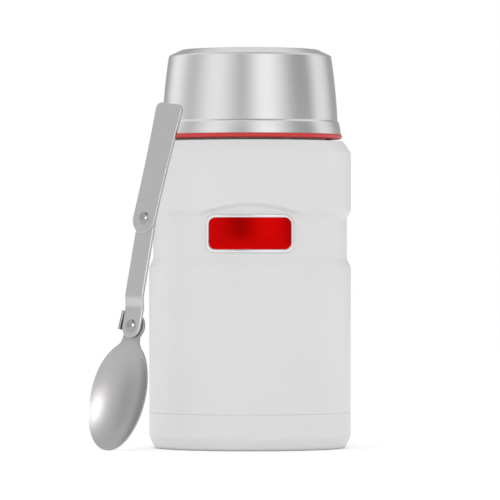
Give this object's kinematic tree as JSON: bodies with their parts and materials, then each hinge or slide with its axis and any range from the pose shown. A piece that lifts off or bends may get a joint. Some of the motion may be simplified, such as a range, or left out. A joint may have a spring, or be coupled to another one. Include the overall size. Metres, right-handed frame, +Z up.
{
  "type": "insulated food jar",
  "caption": "Vacuum-insulated food jar with a screw stopper, a serving bowl that closes over it and a folding spoon leaning beside it.",
  "frame": {"origin": "on the jar's axis, at the plane its foot stands on", "axes": "+Z up along the jar's axis, -Y out of the badge, +X to the right seen from the badge"},
  "size_m": [0.1295, 0.1, 0.1972],
  "materials": {
    "powder_coated_steel": "white powder coat, slightly satin",
    "bowl_steel": "fine circular brushing",
    "vessel_steel": "electropolished inside of the vessel",
    "spoon_steel": "satin, tumbled",
    "rivet_steel": "bright turned heads",
    "stopper_plastic": "dark grey moulded polypropylene",
    "insert_plastic": "black moulded polypropylene",
    "seal_silicone": "translucent grey silicone",
    "lip_plastic": "red moulded plastic",
    "badge_red": "clear-coated red plate",
    "badge_border": "pale silver border",
    "adhesive": "thin adhesive pad",
    "foam": "closed-cell foam",
    "foil": "bright rolled foil",
    "getter_metal": "pressed metal pill",
    "braze": "brazed bead",
    "washer_plastic": "thin acetal washer"
  },
  "bodies": {
    "jar": {"outer_shell": "powder_coated_steel", "base_cup": "powder_coated_steel", "evacuation_seal": "braze", "inner_vessel": "vessel_steel", "foil_shield": "foil", "getter": "getter_metal", "badge_adhesive": "adhesive", "badge_frame": "badge_border", "badge_plate": "badge_red"},
    "stopper_seal": {"stopper_gasket": "seal_silicone"},
    "stopper": {"stopper_top": "stopper_plastic", "stopper_plug": "stopper_plastic", "stopper_foam": "foam"},
    "bowl_lip": {"bowl_lip_ring": "lip_plastic"},
    "serving_bowl": {"bowl_outer_shell": "bowl_steel", "bowl_inner_shell": "vessel_steel", "bowl_thread_insert": "insert_plastic"},
    "spoon_frame": {"spoon_link": "spoon_steel", "lower_rivet": "rivet_steel", "upper_rivet": "rivet_steel", "lower_washer": "washer_plastic", "upper_washer": "washer_plastic"},
    "spoon_head": {"spoon_bowl": "spoon_steel"},
    "spoon_grip": {"spoon_handle": "spoon_steel"}
  },
  "joints": [
    {"name": "stopper_lift", "type": "slide", "parent": "jar", "child": "stopper_seal", "axis": [0, 0, 1], "range_m": [0, 0.06]},
    {"name": "stopper_turn", "type": "hinge", "parent": "stopper_seal", "child": "stopper", "pos_m": [0, 0, 0.16], "axis": [0, 0, 1], "range_deg": [0, 360]},
    {"name": "bowl_lift", "type": "slide", "parent": "stopper", "child": "bowl_lip", "axis": [0, 0, 1], "range_m": [0, 0.06]},
    {"name": "bowl_turn", "type": "hinge", "parent": "bowl_lip", "child": "serving_bowl", "pos_m": [0, 0, 0.16], "axis": [0, 0, 1], "range_deg": [0, 360]},
    {"name": "spoon_pick_up", "type": "slide", "parent": "jar", "child": "spoon_frame", "axis": [-0.4639, -0.5337, 0.7071], "range_m": [0, 0.06]},
    {"name": "spoon_head_fold", "type": "hinge", "parent": "spoon_frame", "child": "spoon_head", "pos_m": [-0.05831, -0.03644, 0.06095], "axis": [-0.6431, -0.7398, 0.1977], "range_deg": [0, 175]},
    {"name": "spoon_handle_fold", "type": "hinge", "parent": "spoon_frame", "child": "spoon_grip", "pos_m": [-0.0499, -0.02987, 0.11286], "axis": [0.6431, 0.7398, -0.1977], "range_deg": [-5, 175]}
  ]
}
